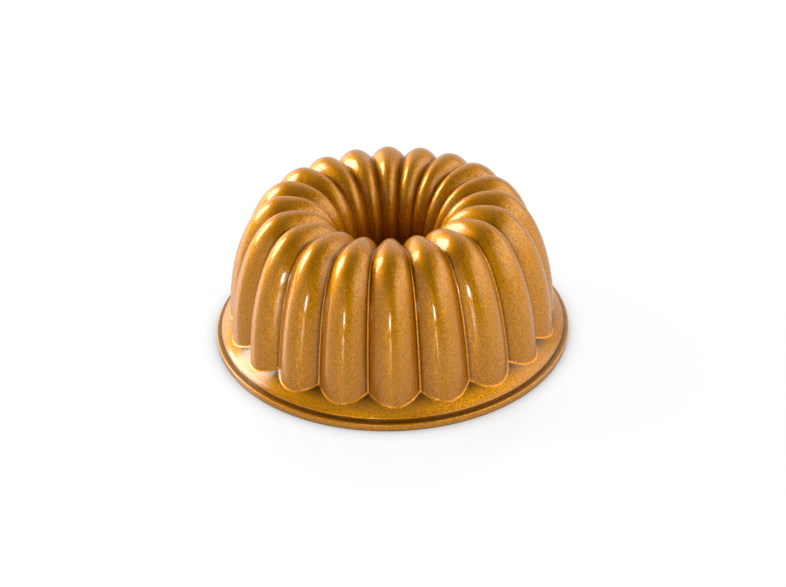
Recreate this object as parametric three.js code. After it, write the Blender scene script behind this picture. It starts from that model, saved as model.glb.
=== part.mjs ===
// Fluted tube pan: a cast ring mould with an open centre tube, standing upside down on its rim.
// Millimetres, +Z up. The origin is on the pan's axis, in the plane that the rim stands on.
import * as THREE from 'three';

// Rim: a flat lip all round, with a step up from it to the sloping flange; the angle is in degrees
const RIM_RADIUS = 131;
const LIP_HEIGHT = 5;
const LIP_WIDTH = 3.7;
const STEP_HEIGHT = 2.5;
const REST_FACE_WIDTH = 5.6;
const FLANGE_WIDTH = 6.6;
const FLANGE_ANGLE = 30;

// Body: the height of the crests, the circle of their summits, the centre tube and the wall
const CREST_HEIGHT = 107.8;
const SUMMIT_RADIUS = 74;
const TUBE_RADIUS = 26;
const TUBE_END_HEIGHT = 10;
const WALL = 3.2;

// Flutes: their number, their depth at three places, and the power that shapes their cross-section,
// where 1 is a parabola and more is a slimmer crest with a softer valley
const FLUTE_COUNT = 20;
const FOOT_DEPTH = 9.7;
const SUMMIT_DEPTH = 7.9;
const TUBE_DEPTH = 2;
const OUTSIDE_POWER = 1.05;
const INSIDE_POWER = 1.5;

// Run of the profile: draft angles in degrees, and how full each curve is (a quarter ellipse is 0.55)
const CREST_DRAFT = 2.6;
const VALLEY_DRAFT = 7.9;
const TUBE_DRAFT = 2;
const SIDE_FULLNESS = 0.545;
const SHOULDER_FULLNESS = 0.525;
const FUNNEL_FULLNESS = 0.7;

// Baked coats on the casting
const EXTERIOR_COAT = 0.05;
const INTERIOR_COAT = 0.05;

// Facets: across one flute, from foot to summit, and from summit to the end of the tube
const FLUTE_STEPS = 6;
const SIDE_STEPS = 5;
const FUNNEL_STEPS = 4;

const stepRadius = RIM_RADIUS - LIP_WIDTH;
const stepTop = LIP_HEIGHT + STEP_HEIGHT;
const restFaceRadius = RIM_RADIUS - REST_FACE_WIDTH;
const columns = FLUTE_COUNT * FLUTE_STEPS;

function tangent(degrees) {
  return Math.tan(THREE.MathUtils.degToRad(degrees));
}

// Height of the flange's cone at a radius, on its upper side or on a side inset into it.
function flangeHeight(radius, inset) {
  const upright = inset / Math.cos(THREE.MathUtils.degToRad(FLANGE_ANGLE));
  return stepTop + (stepRadius - radius) * tangent(FLANGE_ANGLE) - upright;
}

// One line of the profile in radius and height: from the flange up to the summit, and down the tube.
function profileLine(inset, depth, draft) {
  const footRadius = stepRadius - FLANGE_WIDTH - depth.foot - inset;
  const foot = new THREE.Vector2(footRadius, flangeHeight(footRadius, inset));
  const summit = new THREE.Vector2(SUMMIT_RADIUS, CREST_HEIGHT - depth.summit - inset);
  const end = new THREE.Vector2(TUBE_RADIUS + depth.tube + inset, TUBE_END_HEIGHT);

  const rise = SIDE_FULLNESS * (summit.y - foot.y);
  const side = new THREE.Vector2(foot.x - rise * tangent(draft), foot.y + rise);
  const shoulder = new THREE.Vector2(summit.x + SHOULDER_FULLNESS * (foot.x - summit.x), summit.y);

  const drop = FUNNEL_FULLNESS * (summit.y - end.y);
  const throat = new THREE.Vector2(summit.x - FUNNEL_FULLNESS * (summit.x - end.x), summit.y);
  const neck = new THREE.Vector2(end.x + drop * tangent(TUBE_DRAFT), end.y + drop);

  return {
    side: new THREE.CubicBezierCurve(foot, side, shoulder, summit),
    funnel: new THREE.CubicBezierCurve(summit, throat, neck, end),
  };
}

// A ring of points about the axis; across is -1 and 1 in the valleys and 0 on the crest of each flute.
function ring(pointAt) {
  const points = [];
  for (let column = 0; column < columns; column += 1) {
    const half = FLUTE_STEPS / 2;
    const across = ((column + half) % FLUTE_STEPS) / half - 1;
    const angle = (column / columns) * 2 * Math.PI - Math.PI / 2;
    const { x: radius, y: height } = pointAt(across);
    points.push(new THREE.Vector3(radius * Math.cos(angle), radius * Math.sin(angle), height));
  }
  return points;
}

function plainRing(radius, height) {
  return ring(() => new THREE.Vector2(radius, height));
}

// Rings of one fluted skin, from its foot on the flange, over the summits, to the end of the tube.
function flutedRings(inset, power) {
  const onCrest = { foot: 0, summit: 0, tube: 0 };
  const inValley = { foot: FOOT_DEPTH, summit: SUMMIT_DEPTH, tube: TUBE_DEPTH };
  const crest = profileLine(inset, onCrest, CREST_DRAFT);
  const valley = profileLine(inset, inValley, VALLEY_DRAFT);

  function flutedRing(stretch, share) {
    const low = valley[stretch].getPoint(share);
    const high = crest[stretch].getPoint(share);
    return ring((across) => low.clone().lerp(high, (1 - across ** 2) ** power));
  }

  const rings = [];
  for (let step = 0; step < SIDE_STEPS; step += 1) {
    rings.push(flutedRing('side', step / SIDE_STEPS));
  }
  for (let step = 0; step <= FUNNEL_STEPS; step += 1) {
    rings.push(flutedRing('funnel', step / FUNNEL_STEPS));
  }
  return rings;
}

// A closed body from rings that run out along its outer side and back along its inner side.
// Each four-cornered face is split along its shorter diagonal, so that touching bodies share facets.
function closedBody(rings) {
  const corners = rings.flat();
  const faces = [];
  rings.forEach((_, row) => {
    const nextRow = (row + 1) % rings.length;
    for (let column = 0; column < columns; column += 1) {
      const nextColumn = (column + 1) % columns;
      const a = row * columns + column;
      const b = row * columns + nextColumn;
      const c = nextRow * columns + nextColumn;
      const d = nextRow * columns + column;
      const shortest = corners[a].distanceTo(corners[c]) < corners[b].distanceTo(corners[d]);
      faces.push(...(shortest ? [a, b, c, a, c, d] : [a, b, d, b, c, d]));
    }
  });
  const geometry = new THREE.BufferGeometry();
  const numbers = corners.flatMap((corner) => corner.toArray());
  geometry.setAttribute('position', new THREE.Float32BufferAttribute(numbers, 3));
  geometry.setIndex(faces);
  geometry.computeVertexNormals();
  return geometry;
}

// The same rings moved out of the wall; the first and last ring stay in the flat faces that they edge.
function raisedRings(rings, thickness) {
  const last = rings.length - 1;
  return rings.map((points, row) => points.map((point, column) => {
    const before = rings[Math.max(row - 1, 0)][column];
    const after = rings[Math.min(row + 1, last)][column];
    const left = points[(column + columns - 1) % columns];
    const right = points[(column + 1) % columns];
    const outward = right.clone().sub(left).cross(after.clone().sub(before));
    if (row === 0 || row === last) {
      outward.setZ(0);
    }
    return point.clone().addScaledVector(outward.normalize(), thickness);
  }));
}

function coat(rings, thickness) {
  return closedBody([...raisedRings(rings, thickness), ...rings.slice().reverse()]);
}

const outsideRings = [
  plainRing(RIM_RADIUS, 0),
  plainRing(RIM_RADIUS, LIP_HEIGHT),
  plainRing(stepRadius, LIP_HEIGHT),
  plainRing(stepRadius, stepTop),
  ...flutedRings(0, OUTSIDE_POWER),
];
const insideRings = [
  ...flutedRings(WALL, INSIDE_POWER).reverse(),
  plainRing(restFaceRadius, flangeHeight(restFaceRadius, WALL)),
  plainRing(restFaceRadius, 0),
];

function piece(name, geometry, color, metalness, roughness) {
  const mesh = new THREE.Mesh(geometry, new THREE.MeshStandardMaterial({ color, metalness, roughness }));
  mesh.name = name;
  return mesh;
}

const pan = new THREE.Group();
pan.add(
  piece('cast_body', closedBody([...outsideRings, ...insideRings]), 0xb4b6b8, 1, 0.5),
  piece('exterior_gold_coat', coat(outsideRings, EXTERIOR_COAT), 0xbd8433, 0.9, 0.32),
  piece('interior_nonstick_coat', coat(insideRings, INTERIOR_COAT), 0xb07a30, 0.8, 0.45),
);

export default pan;
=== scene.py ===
from math import cos, pi, radians, sin, tan

import bpy
import numpy as np
from mathutils import Matrix, Vector


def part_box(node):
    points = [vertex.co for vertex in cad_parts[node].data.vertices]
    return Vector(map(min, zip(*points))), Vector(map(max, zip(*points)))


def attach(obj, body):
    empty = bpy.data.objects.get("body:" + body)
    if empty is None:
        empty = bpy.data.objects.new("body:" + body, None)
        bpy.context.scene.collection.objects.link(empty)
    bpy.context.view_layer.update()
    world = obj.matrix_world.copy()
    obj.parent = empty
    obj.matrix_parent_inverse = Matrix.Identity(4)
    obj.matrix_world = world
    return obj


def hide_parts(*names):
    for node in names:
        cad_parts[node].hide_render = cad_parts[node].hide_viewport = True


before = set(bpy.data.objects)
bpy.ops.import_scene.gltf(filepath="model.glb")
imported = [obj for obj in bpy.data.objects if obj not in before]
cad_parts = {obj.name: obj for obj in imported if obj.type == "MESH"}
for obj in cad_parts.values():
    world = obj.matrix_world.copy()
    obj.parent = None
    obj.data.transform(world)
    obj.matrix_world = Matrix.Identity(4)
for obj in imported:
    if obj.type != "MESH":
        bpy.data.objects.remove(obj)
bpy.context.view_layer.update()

BODY = "root"

# Rim and flange: the same sizes as the solids; angles are in degrees
_, cast_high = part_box("cast_body")
RIM_RADIUS = cast_high.x
LIP_HEIGHT = 0.005
LIP_WIDTH = 0.0037
STEP_HEIGHT = 0.0025
REST_FACE_WIDTH = 0.0056
FLANGE_WIDTH = 0.0066
FLANGE_ANGLE = 30

# Body and centre tube
CREST_HEIGHT = cast_high.z
SUMMIT_RADIUS = 0.074
TUBE_RADIUS = 0.026
TUBE_END_HEIGHT = 0.010
WALL = 0.0032
COAT = 0.00005

# Flutes: depths at three places, and the power that shapes their cross-section outside and inside
FLUTE_COUNT = 20
FOOT_DEPTH = 0.0097
SUMMIT_DEPTH = 0.0079
TUBE_DEPTH = 0.002
OUTSIDE_POWER = 1.05
INSIDE_POWER = 1.5

# Run of the profile: draft angles, and how full each curve is
CREST_DRAFT = 2.6
VALLEY_DRAFT = 7.9
TUBE_DRAFT = 2
SIDE_FULLNESS = 0.545
SHOULDER_FULLNESS = 0.525
FUNNEL_FULLNESS = 0.7

# Forms that only the fine skins have: bevels under the rim and at the tube's end, and a crease that runs
# round the flange, in from its edge and a little above its slope
BEVEL_WIDTH = 0.0003
BEVEL_HEIGHT = 0.0006
CREASE_INSET = 0.0027
CREASE_RISE = 0.0004

# Roundings and fillets of the fine skins, as the distance that each reaches from its corner
LOW_EDGE_REACH = 0.0002
LIP_REACH = 0.0009
STEP_REACH = 0.0003
FLANGE_EDGE_REACH = 0.0005
CREASE_REACH = 0.0005
INSIDE_RIM_REACH = 0.0006
OUTSIDE_FOOT_FILLET = 0.0012
INSIDE_FOOT_FILLET = 0.003
# Share of a flute's depth that the fillet in its valley fills
VALLEY_FILLET = 0.055

# Painted light and shade on the outer coat, where 1 is plain: painted shade deep in the rim's step, in the
# notches of the foot, beside the valleys and down the funnel, a flange painted slightly lighter, and
# painted highlights along the rim's edges, the foot's fillet and the valleys' fillets
PAINTED_SHADING = "painted_shade_and_highlight"
STEP_SHADE = 0.38
NOTCH_SHADE = 0.05
FLANGE_LIGHTENING = 1.05
VALLEY_SHADE = 0.34
FUNNEL_SHADE = 0.45
EDGE_HIGHLIGHT = 1.3
FOOT_HIGHLIGHT = 1.4
VALLEY_HIGHLIGHT = 1.35
# Limits between which the painted shade and highlights ease: distances from the rim's corners, places
# across a flute where 0 is the valley and 1 the crest, and heights in the funnel
STEP_SHADE_LIMITS = (0.0025, 0.003)
EDGE_HIGHLIGHT_LIMITS = (0.0002, 0.0006)
VALLEY_SHADE_LIMITS = (0.12, 0.24)
VALLEY_HIGHLIGHT_LIMITS = (0.045, 0.1)
FUNNEL_SHADE_HEIGHTS = (0.01, 0.08)

# Lean of the paint's flakes on the flange: how far their normals tip outward, how far below the flange's
# edge that begins, and the share of it that the clear coat has
FLAKE_LEAN = "flake_lean"
FLANGE_LEAN = 0.9
LEAN_MARGIN = 0.0003
COAT_LEAN = 0.1

# Fineness of the skins, and the angle above which an edge is shaded sharp
FLUTE_STEPS = 28
ROUND_STEPS = 5
FLANGE_STEPS = 7
SIDE_STEPS = 26
FUNNEL_STEPS = 23
SHARP_ANGLE = 60

step_radius = RIM_RADIUS - LIP_WIDTH
step_top = LIP_HEIGHT + STEP_HEIGHT
crease_radius = step_radius - CREASE_INSET
crest_foot_radius = step_radius - FLANGE_WIDTH
rest_face_radius = RIM_RADIUS - REST_FACE_WIDTH

# The columns of every skin lie close together in the valleys, where the surface turns sharply;
# across is -1 or 1 in the valleys and 0 on the crests, and above_valley is 0 and 1 there
column_shares = np.arange(FLUTE_STEPS) / FLUTE_STEPS * 2 - 1
across_flute = np.sin(column_shares * pi / 2)
across = np.tile(across_flute, FLUTE_COUNT)
flute_angles = np.repeat(np.arange(FLUTE_COUNT), FLUTE_STEPS) / FLUTE_COUNT * 2 * pi
column_angles = flute_angles + across * pi / FLUTE_COUNT - pi / 2
above_valley = 1 - across ** 2


def tangent(degrees):
    return tan(radians(degrees))


def flange_height(radius, inset):
    """Height of the flange's cone at a radius, on its upper side or on a side inset into it."""
    upright = inset / cos(radians(FLANGE_ANGLE))
    return step_top + (step_radius - radius) * tangent(FLANGE_ANGLE) - upright


def unit(vectors):
    return vectors / np.linalg.norm(vectors, axis=-1, keepdims=True)


def cubic(points, shares):
    """Points on a cubic curve, at shares of its run."""
    a, b, c, d = (np.array(point) for point in points)
    t = shares[:, None]
    return (1 - t) ** 3 * a + 3 * t * (1 - t) ** 2 * b + 3 * t ** 2 * (1 - t) * c + t ** 3 * d


def corner_curve(start, corner, end):
    """Rows of a curve that cuts a corner, from a point on one side of it to a point on the other."""
    rows = []
    for t in np.linspace(0, 1, ROUND_STEPS):
        rows.append((1 - t) ** 2 * start + 2 * t * (1 - t) * corner + t ** 2 * end)
    return rows


def profile_line(inset, depths, draft):
    """Control points of the side and the funnel, in radius and height."""
    foot_depth, summit_depth, tube_depth = depths
    foot_radius = crest_foot_radius - foot_depth - inset
    foot = (foot_radius, flange_height(foot_radius, inset))
    summit = (SUMMIT_RADIUS, CREST_HEIGHT - summit_depth - inset)
    end = (TUBE_RADIUS + tube_depth + inset, TUBE_END_HEIGHT)

    rise = SIDE_FULLNESS * (summit[1] - foot[1])
    side = (foot[0] - rise * tangent(draft), foot[1] + rise)
    shoulder = (summit[0] + SHOULDER_FULLNESS * (foot[0] - summit[0]), summit[1])

    drop = FUNNEL_FULLNESS * (summit[1] - end[1])
    throat = (summit[0] - FUNNEL_FULLNESS * (summit[0] - end[0]), summit[1])
    neck = (end[0] + drop * tangent(TUBE_DRAFT), end[1] + drop)
    return (foot, side, shoulder, summit), (summit, throat, neck, end)


def fluted_rows(inset, power):
    """Rows of radius and height from the sharp foot, over the summits, to the end of the tube."""
    crest_lines = profile_line(inset, (0, 0, 0), CREST_DRAFT)
    valley_lines = profile_line(inset, (FOOT_DEPTH, SUMMIT_DEPTH, TUBE_DEPTH), VALLEY_DRAFT)
    crest_share = np.hypot(above_valley ** power, VALLEY_FILLET) / np.hypot(1, VALLEY_FILLET)
    side_shares = np.arange(SIDE_STEPS) / SIDE_STEPS
    funnel_shares = np.arange(FUNNEL_STEPS + 1) / FUNNEL_STEPS
    stretches = []
    for crest, valley, shares in zip(crest_lines, valley_lines, (side_shares, funnel_shares)):
        low = cubic(valley, shares)[:, None]
        high = cubic(crest, shares)[:, None]
        stretches.append(low + (high - low) * crest_share[None, :, None])
    return list(np.vstack(stretches))


def filleted(rows, fillet):
    """The fluted rows with a fillet where they meet the flange."""
    foot = rows[0]
    down_flange = np.array((cos(radians(FLANGE_ANGLE)), -sin(radians(FLANGE_ANGLE))))
    up_wall = unit(rows[1] - foot)
    return corner_curve(foot + fillet * down_flange, foot, foot + fillet * up_wall) + rows[1:]


def bevelled_tip(rows, into_wall):
    """The rows with a small bevel where the tube ends; into_wall is the side that its wall lies on."""
    end = rows[-1]
    return rows[:-1] + [end + (0, BEVEL_HEIGHT), end + (into_wall * BEVEL_WIDTH, 0)]


def round_row(point):
    """A row with the same radius and height all round."""
    return np.tile(point, (len(across), 1))


def rounded_path(corners):
    """Rows along a path about the axis; a corner is a radius, a height and the reach of its rounding.

    The first point has no rounding, and the last only gives the direction in which the path goes on.
    """
    points = [np.array(corner[:2]) for corner in corners]
    rows = [round_row(points[0])]
    for before, here, after, corner in zip(points, points[1:], points[2:], corners[1:]):
        start = here + corner[2] * unit(before - here)
        end = here + corner[2] * unit(after - here)
        for point in corner_curve(start, here, end):
            rows.append(round_row(point))
    return rows


def between(first, last, steps):
    """The rows that lie between two rows, which are left out."""
    return [first + (last - first) * step / steps for step in range(1, steps)]


def outside_rows():
    """Rows of the outside: those of the rim and flange, and those of the fluted skin."""
    rim = rounded_path([
        (RIM_RADIUS - BEVEL_WIDTH, 0),
        (RIM_RADIUS, BEVEL_HEIGHT, LOW_EDGE_REACH),
        (RIM_RADIUS, LIP_HEIGHT, LIP_REACH),
        (step_radius, LIP_HEIGHT, STEP_REACH),
        (step_radius, step_top, FLANGE_EDGE_REACH),
        (crease_radius, flange_height(crease_radius, 0) + CREASE_RISE, CREASE_REACH),
        (crest_foot_radius, flange_height(crest_foot_radius, 0)),
    ])
    skin = filleted(fluted_rows(0, OUTSIDE_POWER), OUTSIDE_FOOT_FILLET)
    return rim + between(rim[-1], skin[0], FLANGE_STEPS), bevelled_tip(skin, 1)


def inside_rows():
    """Rows of the inside, in the same two lists as those of the outside."""
    inner_foot_radius = crest_foot_radius - WALL
    rim = rounded_path([
        (rest_face_radius + BEVEL_WIDTH, 0),
        (rest_face_radius, BEVEL_HEIGHT, LOW_EDGE_REACH),
        (rest_face_radius, flange_height(rest_face_radius, WALL), INSIDE_RIM_REACH),
        (inner_foot_radius, flange_height(inner_foot_radius, WALL)),
    ])
    skin = filleted(fluted_rows(WALL, INSIDE_POWER), INSIDE_FOOT_FILLET)
    return rim + between(rim[-1], skin[0], FLANGE_STEPS), bevelled_tip(skin, -1)


def eased(values, limits, low_result, high_result):
    """Values turned into results that ease from one to the other between two limits."""
    share = np.clip((values - limits[0]) / (limits[1] - limits[0]), 0, 1)
    return low_result + (high_result - low_result) * share * share * (3 - 2 * share)


def rim_painted_shading(rim):
    """Painted shade in the step and the foot's notches, and painted highlights on the edges, at each point
    of the rim and the flange.
    """
    radius, height = np.moveaxis(np.array(rim), -1, 0)
    # Painted shade in the foot's notches and the rim's step, over a flange painted slightly lighter
    notch_limits = (crest_foot_radius - FOOT_DEPTH, crease_radius)
    notch_shade = eased(radius, notch_limits, NOTCH_SHADE, FLANGE_LIGHTENING)
    from_step = np.hypot(radius - step_radius, height - LIP_HEIGHT)
    step_shade = eased(from_step, STEP_SHADE_LIMITS, STEP_SHADE, FLANGE_LIGHTENING)
    tones = np.minimum(notch_shade, step_shade)
    # Painted highlights along the flange's and the lip's edges
    from_flange_edge = np.hypot(radius - step_radius, height - step_top)
    from_lip_edge = np.hypot(radius - RIM_RADIUS, height - LIP_HEIGHT)
    edge_highlight_share = eased(np.minimum(from_flange_edge, from_lip_edge), EDGE_HIGHLIGHT_LIMITS, 1, 0)
    return tones + (EDGE_HIGHLIGHT - tones) * edge_highlight_share


def skin_painted_shading(skin):
    """Painted shade beside the valleys and down the funnel, and a painted highlight along the valleys'
    fillets, at each point of the flutes and the funnel.
    """
    radius, height = np.moveaxis(np.array(skin), -1, 0)
    # Painted shade beside the valleys, and a painted highlight on the valleys' fillets
    shaded_valleys = eased(above_valley, VALLEY_SHADE_LIMITS, VALLEY_SHADE, 1)
    highlit_valleys = eased(above_valley, VALLEY_HIGHLIGHT_LIMITS, VALLEY_HIGHLIGHT - VALLEY_SHADE, 0)
    tones = shaded_valleys + highlit_valleys
    # Painted shade, darker down the funnel
    shaded_funnel = eased(height, FUNNEL_SHADE_HEIGHTS, FUNNEL_SHADE, 1)
    return np.where(radius < SUMMIT_RADIUS, np.minimum(tones, shaded_funnel), tones)


def outside_painted_shading(rim, skin):
    """Painted shade and highlights at each point of the outside, with a painted highlight along the foot's
    fillet between its two parts.
    """
    on_rim = rim_painted_shading(rim)
    on_skin = skin_painted_shading(skin)
    # Painted highlight along the foot's fillet
    on_skin[0] = on_rim[-1]
    on_skin[1:ROUND_STEPS - 1] = FOOT_HIGHLIGHT
    return np.concatenate((on_rim, on_skin))


def outside_leans(rim, skin):
    """Lean of the flakes at each point of the outside: they lean on the flange alone."""
    leans = np.zeros((len(rim) + len(skin), len(across)))
    radius, height = np.moveaxis(np.array(rim + skin[:1]), -1, 0)
    on_flange = (radius < step_radius) & (height > step_top - LEAN_MARGIN)
    leans[:len(rim) + 1] = np.where(on_flange, FLANGE_LEAN, 0.0)
    return leans


def in_space(rim, skin):
    """One side of the wall: its rows as points in space."""
    radius, height = np.moveaxis(np.array(rim + skin), -1, 0)
    return np.stack((radius * np.cos(column_angles), radius * np.sin(column_angles), height), axis=-1)


def raised(grid, thickness):
    """The grid moved out of the wall; its first and last rows stay in the flat faces that they edge."""
    padded = np.concatenate((grid[:1], grid, grid[-1:]))
    along = padded[2:] - padded[:-2]
    around = np.roll(grid, -1, axis=1) - np.roll(grid, 1, axis=1)
    outward = np.cross(around, along)
    outward[[0, -1], :, 2] = 0
    return grid + unit(outward) * thickness


def closed_piece(name, node, slot, there, back, material):
    """One closed piece from rows that run out along one side and back along the other."""
    grid = np.concatenate((there, back[::-1]))
    row_count, column_count = grid.shape[:2]
    number = np.arange(row_count * column_count).reshape(row_count, column_count)
    next_row = np.roll(number, -1, axis=0)
    corners = (number, np.roll(number, -1, axis=1), np.roll(next_row, -1, axis=1), next_row)
    faces = np.stack(corners, axis=-1).reshape(-1, 4)

    mesh = bpy.data.meshes.new(name)
    mesh.from_pydata(grid.reshape(-1, 3).tolist(), [], faces.tolist())
    mesh.shade_smooth()
    mesh.set_sharp_from_angle(angle=radians(SHARP_ANGLE))
    mesh.materials.append(material)
    piece = bpy.data.objects.new(name, mesh)
    bpy.context.collection.objects.link(piece)
    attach(piece, BODY)
    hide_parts(node)
    return piece


def set_paint(coat, name, values):
    """One of the coat's values, such as its painted shade and highlights, at each point of a coat, the same
    on its two sides.
    """
    both_sides = np.concatenate((values, values[::-1]))
    attribute = coat.data.attributes.new(name, "FLOAT", "POINT")
    attribute.data.foreach_set("value", both_sides.ravel())


# Gold coats: their deepest and brightest flakes, the roughness of each, the tilt of the flakes, and the
# weight and roughness of the clear coat
GOLD = {
    "deep": (0.43, 0.164, 0.001),
    "bright": (0.73, 0.303, 0.004),
    "roughness": (0.62, 0.48),
    "tilt": 0.26,
    "coat_weight": 0.85,
    "coat_roughness": 0.12,
}
NONSTICK = {
    "deep": (0.38, 0.148, 0.004),
    "bright": (0.46, 0.190, 0.008),
    "roughness": (0.58, 0.50),
    "tilt": 0.25,
    "coat_weight": 0.5,
    "coat_roughness": 0.3,
}
FLAKE_SIZE = 0.0005
ORANGE_PEEL_SIZE = 0.004
ORANGE_PEEL_HEIGHT = 0.00002

# Bare casting: the size, detail, height, colours and roughness of its grain
GRAIN_SIZE = 0.0008
GRAIN_DETAIL = 4.0
GRAIN_HEIGHT = 0.00008
GRAIN_DARK = (0.42, 0.42, 0.43)
GRAIN_LIGHT = (0.62, 0.62, 0.63)
GRAIN_ROUGHNESS = (0.42, 0.58)

# The middle of a random colour, and the part of a random value's range that is spread over a result
MIDDLE_COLOUR = (0.5, 0.5, 0.5)
RANDOM_LOW = 0.25
RANDOM_HIGH = 0.75


def new_material(name):
    material = bpy.data.materials.new(name)
    material.use_nodes = True
    return material, material.node_tree, material.node_tree.nodes["Principled BSDF"]


def add_node(tree, kind, **settings):
    node = tree.nodes.new(kind)
    for key, value in settings.items():
        setattr(node, key, value)
    return node


def set_inputs(node, **values):
    """Plain values set on a node's inputs; an underscore in a key stands for a space."""
    for key, value in values.items():
        node.inputs[key.replace("_", " ")].default_value = value


def fed_node(tree, node, sockets, inputs):
    """A node with other sockets or plain values put on some of its sockets."""
    for socket, value in zip(sockets, inputs):
        if isinstance(value, bpy.types.NodeSocket):
            tree.links.new(value, socket)
        else:
            socket.default_value = value
    return node


def calculated(tree, operation, *inputs):
    """A number worked out from sockets and plain numbers."""
    node = add_node(tree, "ShaderNodeMath", operation=operation)
    return fed_node(tree, node, node.inputs, inputs).outputs["Value"]


def vector(tree, operation, *inputs):
    """A vector worked out from sockets, plain vectors and plain numbers."""
    node = add_node(tree, "ShaderNodeVectorMath", operation=operation)
    second = node.inputs["Scale"] if operation == "SCALE" else node.inputs[1]
    return fed_node(tree, node, (node.inputs[0], second), inputs).outputs["Vector"]


def attribute_value(tree, name):
    return add_node(tree, "ShaderNodeAttribute", attribute_name=name).outputs["Fac"]


def object_place(tree):
    return add_node(tree, "ShaderNodeTexCoord").outputs["Object"]


def noise(tree, size, detail=2.0):
    """Soft noise whose spots are about the given size across."""
    node = add_node(tree, "ShaderNodeTexNoise")
    set_inputs(node, Scale=1 / size, Detail=detail)
    tree.links.new(object_place(tree), node.inputs["Vector"])
    return node.outputs["Fac"]


def flakes(tree, size):
    """A random colour for each metal flake."""
    node = add_node(tree, "ShaderNodeTexVoronoi")
    set_inputs(node, Scale=1 / size)
    tree.links.new(object_place(tree), node.inputs["Vector"])
    return node.outputs["Color"]


def mapped(tree, value, low, high):
    """A random value spread over the range between two results."""
    node = add_node(tree, "ShaderNodeMapRange")
    set_inputs(node, From_Min=RANDOM_LOW, From_Max=RANDOM_HIGH, To_Min=low, To_Max=high)
    tree.links.new(value, node.inputs["Value"])
    return node.outputs["Result"]


def smooth_range(tree, value, low, high, low_result, high_result):
    """A value eased from one result to another between two limits."""
    node = add_node(tree, "ShaderNodeMapRange", interpolation_type="SMOOTHSTEP")
    set_inputs(node, From_Min=low, From_Max=high, To_Min=low_result, To_Max=high_result)
    tree.links.new(value, node.inputs["Value"])
    return node.outputs["Result"]


def colour_mix(tree, share, first, second):
    node = add_node(tree, "ShaderNodeMix", data_type="RGBA")
    node.inputs["A"].default_value = (*first, 1)
    node.inputs["B"].default_value = (*second, 1)
    tree.links.new(share, node.inputs["Factor"])
    return node.outputs["Result"]


def bump(tree, height, distance):
    node = add_node(tree, "ShaderNodeBump")
    set_inputs(node, Distance=distance)
    tree.links.new(height, node.inputs["Height"])
    return node.outputs["Normal"]


def tilted_normal(tree, random_colour, tilt):
    """The surface's normal, tipped a little at random for each flake."""
    surface = add_node(tree, "ShaderNodeNewGeometry").outputs["Normal"]
    either_way = vector(tree, "SUBTRACT", random_colour, MIDDLE_COLOUR)
    return vector(tree, "ADD", surface, vector(tree, "SCALE", either_way, tilt))


def leaned_normal(tree, normal, share=1.0):
    """A normal leaned outward from the axis by a share of the flakes' lean."""
    outward = vector(tree, "NORMALIZE", vector(tree, "MULTIPLY", object_place(tree), (1, 1, 0)))
    lean = calculated(tree, "MULTIPLY", attribute_value(tree, FLAKE_LEAN), share)
    sideways = vector(tree, "SCALE", outward, lean)
    return vector(tree, "NORMALIZE", vector(tree, "ADD", normal, sideways))


def gold_coat(name, deep, bright, roughness, tilt, coat_weight, coat_roughness):
    """Baked metallic paint: deep and bright flakes under a clear coat with a faint orange peel."""
    material, tree, shader = new_material(name)
    flake = flakes(tree, FLAKE_SIZE)
    parts = add_node(tree, "ShaderNodeSeparateColor")
    tree.links.new(flake, parts.inputs["Color"])
    brightness = parts.outputs["Red"]

    plain = colour_mix(tree, brightness, deep, bright)
    # Base colour scaled by the painted shade and painted highlights
    with_painted_shading = vector(tree, "SCALE", plain, attribute_value(tree, PAINTED_SHADING))
    tree.links.new(with_painted_shading, shader.inputs["Base Color"])
    tree.links.new(mapped(tree, brightness, *roughness), shader.inputs["Roughness"])
    flake_normal = leaned_normal(tree, tilted_normal(tree, flake, tilt))
    tree.links.new(flake_normal, shader.inputs["Normal"])
    orange_peel = bump(tree, noise(tree, ORANGE_PEEL_SIZE), ORANGE_PEEL_HEIGHT)
    tree.links.new(leaned_normal(tree, orange_peel, COAT_LEAN), shader.inputs["Coat Normal"])
    set_inputs(shader, Metallic=1.0, Coat_Weight=coat_weight, Coat_Roughness=coat_roughness)
    return material


def cast_aluminium():
    """Bare metal where the coats end: grey, with the fine grain of a casting."""
    material, tree, shader = new_material("cast_aluminium")
    grain = noise(tree, GRAIN_SIZE, GRAIN_DETAIL)
    tree.links.new(colour_mix(tree, grain, GRAIN_DARK, GRAIN_LIGHT), shader.inputs["Base Color"])
    tree.links.new(mapped(tree, grain, *GRAIN_ROUGHNESS), shader.inputs["Roughness"])
    tree.links.new(bump(tree, grain, GRAIN_HEIGHT), shader.inputs["Normal"])
    set_inputs(shader, Metallic=1.0)
    return material


# Studio: the floor's size, shade, glow and gloss, the distance from the axis over which the camera sees
# its gloss fade, the reach of the pan's contact shadow, and the levels of the world and the backdrop
FLOOR_SIZE = 8.0
FLOOR_SHADE = 0.12
FLOOR_GLOW = 0.92
MIRRORED_FLOOR_GLOW = 0.82
FLOOR_GLOSS_ROUGHNESS = 0.25
GLOSSY_FLOOR_LIMITS = (0.25, 0.6)
CONTACT_REACH = 0.012
WORLD_LEVEL = 0.03
BACKDROP_GLOW = 0.98
# Soft-edged lights round the pan, in degrees and as seen from it; azimuth 0 is behind the camera.
# Azimuth, elevation, width, height, softness of the sides, softness of the top and bottom, level.
LIGHTS = {
    "softbox": (-112, 27, 27, 29, 10, 10, 12.5),
    "low_side_light": (-135, 8, 34, 30, 24, 20, 1.5),
    "left_fill": (-60, 10, 70, 40, 30, 30, 0.68),
    "right_panel": (74, 25, 97, 41, 20, 33, 2.2),
    "back_wall": (175, 25, 90, 90, 50, 40, 0.95),
    "overhead": (180, 90, 360, 50, 1, 25, 0.22),
    "front_light": (-13, 8.5, 7, 8, 3, 3, 34.0),
}


def soft_edged(tree, angle, size, softness):
    """Share of a light at an angle from its middle: 1 well inside it, easing to 0 outside."""
    inner = radians(size - softness) / 2
    outer = radians(size + softness) / 2
    return smooth_range(tree, angle, inner, outer, 1.0, 0.0)


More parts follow.
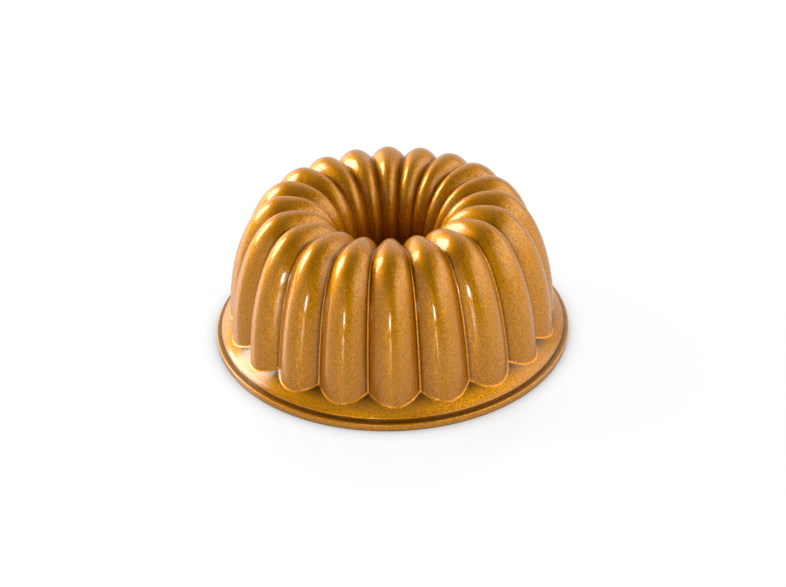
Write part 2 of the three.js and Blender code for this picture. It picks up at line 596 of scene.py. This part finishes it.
def studio_light(tree):
    """Level of the light from each direction: the world's own and that of every light."""
    seen_along = add_node(tree, "ShaderNodeTexCoord").outputs["Generated"]
    place = add_node(tree, "ShaderNodeSeparateXYZ")
    tree.links.new(seen_along, place.inputs["Vector"])
    x, y, z = place.outputs
    elevation_seen = calculated(tree, "ARCSINE", z)
    azimuth_seen = calculated(tree, "ARCTAN2", x, calculated(tree, "MULTIPLY", y, -1))
    total = WORLD_LEVEL
    for azimuth, elevation, width, height, side_softness, top_softness, level in LIGHTS.values():
        turn = calculated(tree, "SUBTRACT", azimuth_seen, radians(azimuth))
        aside = calculated(tree, "ABSOLUTE", calculated(tree, "WRAP", turn, pi, -pi))
        rise = calculated(tree, "SUBTRACT", elevation_seen, radians(elevation))
        above = calculated(tree, "ABSOLUTE", rise)
        side_share = soft_edged(tree, aside, width, side_softness)
        top_share = soft_edged(tree, above, height, top_softness)
        share = calculated(tree, "MULTIPLY", side_share, top_share)
        total = calculated(tree, "MULTIPLY_ADD", share, level, total)
    return total


def build_world():
    """The studio's light, with an even backdrop in its place where the camera looks past the floor."""
    world = bpy.data.worlds.new("studio")
    world.use_nodes = True
    tree = world.node_tree
    background = tree.nodes["Background"]
    background.inputs["Color"].default_value = (1, 1, 1, 1)
    seen = add_node(tree, "ShaderNodeLightPath").outputs["Is Camera Ray"]
    lit = calculated(tree, "MULTIPLY", studio_light(tree), calculated(tree, "SUBTRACT", 1, seen))
    strength = calculated(tree, "MULTIPLY_ADD", seen, BACKDROP_GLOW, lit)
    tree.links.new(strength, background.inputs["Strength"])
    bpy.context.scene.world = world


def floor_glow(tree, path, from_axis):
    """An even glow for the camera and for mirrored views, darker where the pan stands and none under it."""
    mirrored = calculated(tree, "MAXIMUM", path["Is Glossy Ray"], path["Is Transmission Ray"])
    seen = calculated(tree, "MULTIPLY", path["Is Camera Ray"], FLOOR_GLOW)
    seen = calculated(tree, "MULTIPLY_ADD", mirrored, MIRRORED_FLOOR_GLOW, seen)
    contact = add_node(tree, "ShaderNodeAmbientOcclusion")
    set_inputs(contact, Distance=CONTACT_REACH)
    outside_rim = calculated(tree, "GREATER_THAN", from_axis, RIM_RADIUS)
    open_floor = calculated(tree, "MULTIPLY", contact.outputs["AO"], outside_rim)
    glow = add_node(tree, "ShaderNodeEmission")
    tree.links.new(calculated(tree, "MULTIPLY", seen, open_floor), glow.inputs["Strength"])
    return glow.outputs["Emission"]


def floor_gloss_share(tree, path, from_axis):
    """Share of the floor's gloss that is seen: by Fresnel, and for the camera only near the pan."""
    far = smooth_range(tree, from_axis, *GLOSSY_FLOOR_LIMITS, 0.0, 1.0)
    faded = calculated(tree, "MULTIPLY", far, path["Is Camera Ray"])
    near = calculated(tree, "SUBTRACT", 1, faded)
    fresnel = add_node(tree, "ShaderNodeFresnel").outputs["Fac"]
    return calculated(tree, "MULTIPLY", fresnel, near)


def pale_floor():
    """A plain pale floor that keeps the pan's shadow and mirrors it faintly."""
    material, tree, unused_shader = new_material("pale_floor")
    tree.nodes.remove(unused_shader)
    path = add_node(tree, "ShaderNodeLightPath").outputs
    distance = add_node(tree, "ShaderNodeVectorMath", operation="LENGTH")
    place = add_node(tree, "ShaderNodeNewGeometry").outputs["Position"]
    tree.links.new(place, distance.inputs[0])
    from_axis = distance.outputs["Value"]

    shade = add_node(tree, "ShaderNodeBsdfDiffuse")
    shade.inputs["Color"].default_value = (FLOOR_SHADE, FLOOR_SHADE, FLOOR_SHADE, 1)
    glowing = add_node(tree, "ShaderNodeAddShader")
    tree.links.new(shade.outputs["BSDF"], glowing.inputs[0])
    tree.links.new(floor_glow(tree, path, from_axis), glowing.inputs[1])

    gloss = add_node(tree, "ShaderNodeBsdfGlossy")
    set_inputs(gloss, Roughness=FLOOR_GLOSS_ROUGHNESS)
    layered = add_node(tree, "ShaderNodeMixShader")
    tree.links.new(floor_gloss_share(tree, path, from_axis), layered.inputs["Fac"])
    tree.links.new(glowing.outputs["Shader"], layered.inputs[1])
    tree.links.new(gloss.outputs["BSDF"], layered.inputs[2])
    tree.links.new(layered.outputs["Shader"], tree.nodes["Material Output"].inputs["Surface"])
    return material


def build_floor():
    half = FLOOR_SIZE / 2
    corners = [(-half, -half, 0), (half, -half, 0), (half, half, 0), (-half, half, 0)]
    mesh = bpy.data.meshes.new("floor")
    mesh.from_pydata(corners, [], [(0, 1, 2, 3)])
    mesh.materials.append(pale_floor())
    floor = bpy.data.objects.new("floor", mesh)
    bpy.context.collection.objects.link(floor)


# Camera: the photograph's viewpoint, in pixels, metres and degrees, on a sensor in millimetres
IMAGE_WIDTH = 786
FOCAL_PIXELS = 1200
SENSOR_WIDTH = 36
TARGET = Vector((0.00096, 0, 0.02492))
CAMERA_DISTANCE = 0.8909
CAMERA_ELEVATION = 32.27
CAMERA_ROLL = -1.61


def build_camera():
    data = bpy.data.cameras.new("camera")
    data.sensor_fit = "HORIZONTAL"
    data.sensor_width = SENSOR_WIDTH
    data.lens = FOCAL_PIXELS / IMAGE_WIDTH * SENSOR_WIDTH
    camera = bpy.data.objects.new("camera", data)
    elevation = radians(CAMERA_ELEVATION)
    back = Vector((0, -cos(elevation), sin(elevation)))
    right = Vector((1, 0, 0))
    up = back.cross(right)
    roll = radians(CAMERA_ROLL)
    rolled_right = right * cos(roll) + up * sin(roll)
    rolled_up = up * cos(roll) - right * sin(roll)
    place = TARGET + back * CAMERA_DISTANCE
    axes = Matrix((rolled_right, rolled_up, back)).transposed()
    camera.matrix_world = Matrix.LocRotScale(place, axes, None)
    bpy.context.collection.objects.link(camera)
    bpy.context.scene.camera = camera


# The pan: the bare casting between its two sides, and a coat on each of them
gold = gold_coat("gold_exterior", **GOLD)
nonstick = gold_coat("gold_nonstick", **NONSTICK)
outside_path = outside_rows()
outside = in_space(*outside_path)
inside = in_space(*inside_rows())
closed_piece("casting", "cast_body", "cast_aluminium", outside, inside, cast_aluminium())

outer_sides = raised(outside, COAT), outside
outer_coat = closed_piece("exterior_coat", "exterior_gold_coat", "gold_exterior", *outer_sides, gold)
# Painted shade and highlights on the outer coat; the inner coat has none
set_paint(outer_coat, PAINTED_SHADING, outside_painted_shading(*outside_path))
set_paint(outer_coat, FLAKE_LEAN, outside_leans(*outside_path))

inner_sides = inside, raised(inside, -COAT)
inner_coat = closed_piece(
    "interior_coat", "interior_nonstick_coat", "gold_nonstick", *inner_sides, nonstick,
)
set_paint(inner_coat, PAINTED_SHADING, np.ones(inside.shape[:2]))

build_world()
build_floor()
build_camera()

bpy.context.scene.view_settings.view_transform = "Standard"
